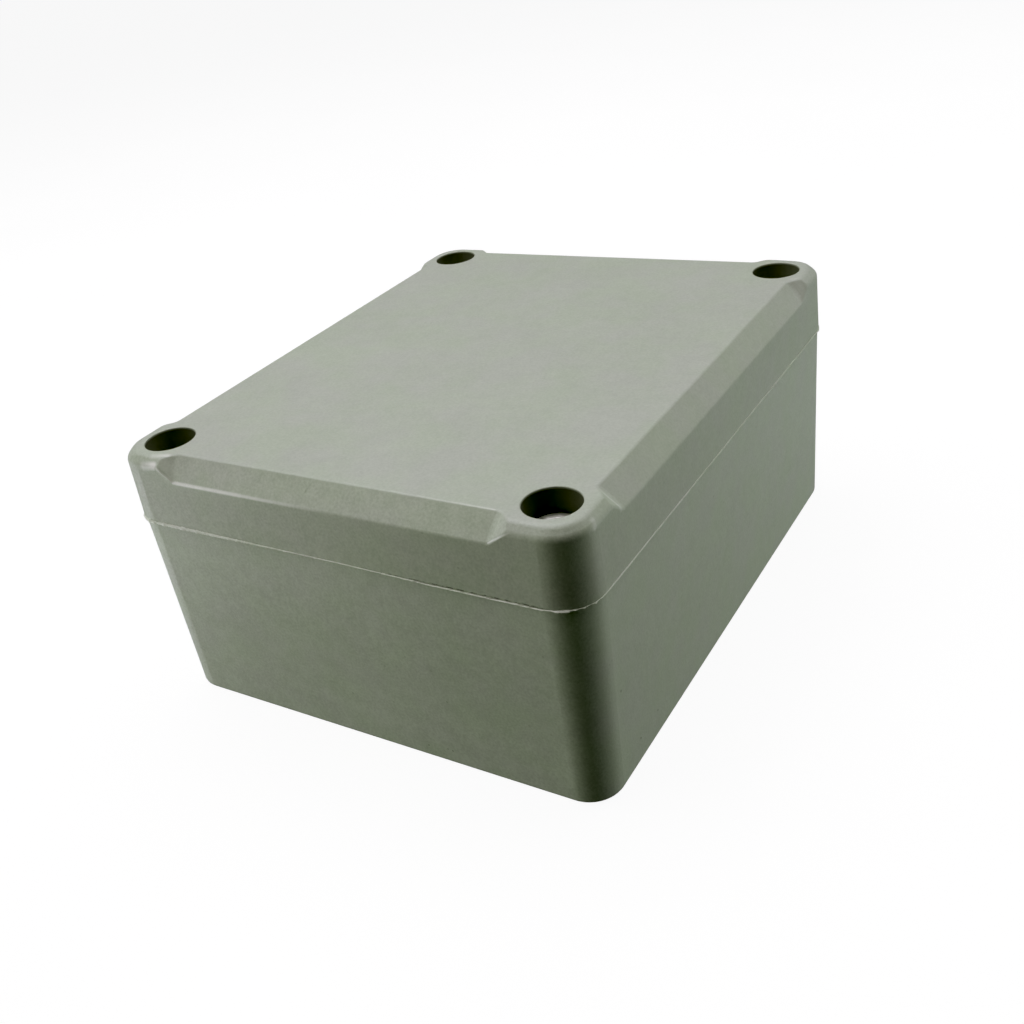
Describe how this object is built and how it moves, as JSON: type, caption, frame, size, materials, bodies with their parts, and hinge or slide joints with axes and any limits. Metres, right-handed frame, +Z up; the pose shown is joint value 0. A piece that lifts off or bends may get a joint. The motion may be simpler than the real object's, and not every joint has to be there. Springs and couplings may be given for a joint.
{
  "type": "electronics enclosure",
  "caption": "Moulded plastic electronics enclosure: box base and lift-off lid with bevelled top edges, recessed corner screws, gasket, inner standoffs and mounting holes.",
  "frame": {"origin": "centre of the base's underside, on the surface that the enclosure stands on", "axes": "+Z up through the lid, Y along the long side, X along the short side; the corner nearest the picture's camera is +X -Y"},
  "size_m": [0.092, 0.11, 0.051],
  "materials": {
    "housing": "fine spark-eroded matte texture, warm light grey",
    "seal": "matte moulded rubber",
    "screw_steel": "plain stainless, lightly turned",
    "ring_nylon": "natural nylon",
    "insert_brass": "turned brass"
  },
  "bodies": {
    "base": {"base": "housing", "threaded_insert_1": "insert_brass", "threaded_insert_2": "insert_brass", "threaded_insert_3": "insert_brass", "threaded_insert_4": "insert_brass"},
    "lid": {"lid": "housing", "gasket": "seal"},
    "ring_1": {"retaining_ring_1": "ring_nylon"},
    "ring_2": {"retaining_ring_2": "ring_nylon"},
    "ring_3": {"retaining_ring_3": "ring_nylon"},
    "ring_4": {"retaining_ring_4": "ring_nylon"},
    "screw_1": {"lid_screw_1": "screw_steel"},
    "screw_2": {"lid_screw_2": "screw_steel"},
    "screw_3": {"lid_screw_3": "screw_steel"},
    "screw_4": {"lid_screw_4": "screw_steel"}
  },
  "joints": [
    {"name": "lid_lift", "type": "slide", "parent": "base", "child": "lid", "axis": [0, 0, 1], "range_m": [0, 0.06]},
    {"name": "screw_1_rise", "type": "slide", "parent": "lid", "child": "ring_1", "axis": [0, 0, 1], "range_m": [0, 0.0063]},
    {"name": "screw_2_rise", "type": "slide", "parent": "lid", "child": "ring_2", "axis": [0, 0, 1], "range_m": [0, 0.0063]},
    {"name": "screw_3_rise", "type": "slide", "parent": "lid", "child": "ring_3", "axis": [0, 0, 1], "range_m": [0, 0.0063]},
    {"name": "screw_4_rise", "type": "slide", "parent": "lid", "child": "ring_4", "axis": [0, 0, 1], "range_m": [0, 0.0063]},
    {"name": "screw_1_turn", "type": "hinge", "parent": "ring_1", "child": "screw_1", "pos_m": [0.03825, -0.04725, 0.044], "axis": [0, 0, 1], "range_deg": [0, 3240]},
    {"name": "screw_2_turn", "type": "hinge", "parent": "ring_2", "child": "screw_2", "pos_m": [-0.03825, -0.04725, 0.044], "axis": [0, 0, 1], "range_deg": [0, 3240]},
    {"name": "screw_3_turn", "type": "hinge", "parent": "ring_3", "child": "screw_3", "pos_m": [-0.03825, 0.04725, 0.044], "axis": [0, 0, 1], "range_deg": [0, 3240]},
    {"name": "screw_4_turn", "type": "hinge", "parent": "ring_4", "child": "screw_4", "pos_m": [0.03825, 0.04725, 0.044], "axis": [0, 0, 1], "range_deg": [0, 3240]}
  ],
  "couplings": [
    {"joint": "screw_1_turn", "follows": "screw_1_rise", "rad_per_m": 8976},
    {"joint": "screw_2_turn", "follows": "screw_2_rise", "rad_per_m": 8976},
    {"joint": "screw_3_turn", "follows": "screw_3_rise", "rad_per_m": 8976},
    {"joint": "screw_4_turn", "follows": "screw_4_rise", "rad_per_m": 8976}
  ]
}
